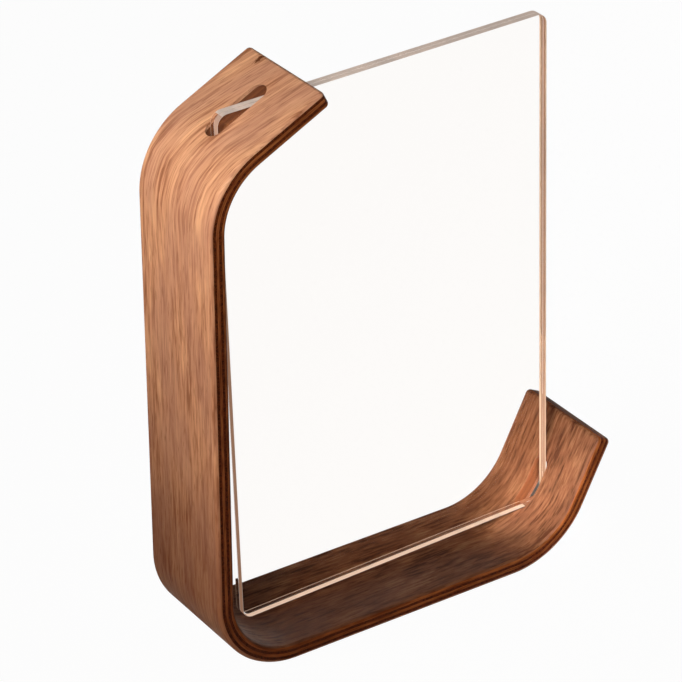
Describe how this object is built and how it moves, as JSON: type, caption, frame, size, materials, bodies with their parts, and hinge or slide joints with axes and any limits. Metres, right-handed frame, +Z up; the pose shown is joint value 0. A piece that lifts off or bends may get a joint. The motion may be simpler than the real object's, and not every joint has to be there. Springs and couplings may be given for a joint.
{
  "type": "double-sided photo frame",
  "caption": "Free-standing photo frame: a C-shaped bent-ply strip whose slotted ends hold clear panes, so a print between them shows from both sides.",
  "frame": {"origin": "on the surface the frame stands on, under the middle of its overall box", "axes": "+X along the base from the upright leg towards the right end, +Y towards the back across the strip's width, +Z up the leg"},
  "size_m": [0.1688, 0.045, 0.2153],
  "materials": {
    "walnut_face": "oiled satin walnut veneer",
    "cross_ply": "dark cross-grain ply edge",
    "long_ply": "brown long-grain ply edge",
    "clear_pane": "polished clear sheet"
  },
  "bodies": {
    "strip": {"outer_face_veneer": "walnut_face", "outer_cross_ply": "cross_ply", "centre_long_ply": "long_ply", "inner_cross_ply": "cross_ply", "inner_long_ply": "long_ply", "inner_face_veneer": "walnut_face", "front_pane": "clear_pane"},
    "rear_pane": {"rear_pane": "clear_pane"}
  },
  "joints": [
    {"name": "rear_pane_slide", "type": "slide", "parent": "strip", "child": "rear_pane", "axis": [0, 1, 0], "range_m": [0, 0.002]}
  ]
}
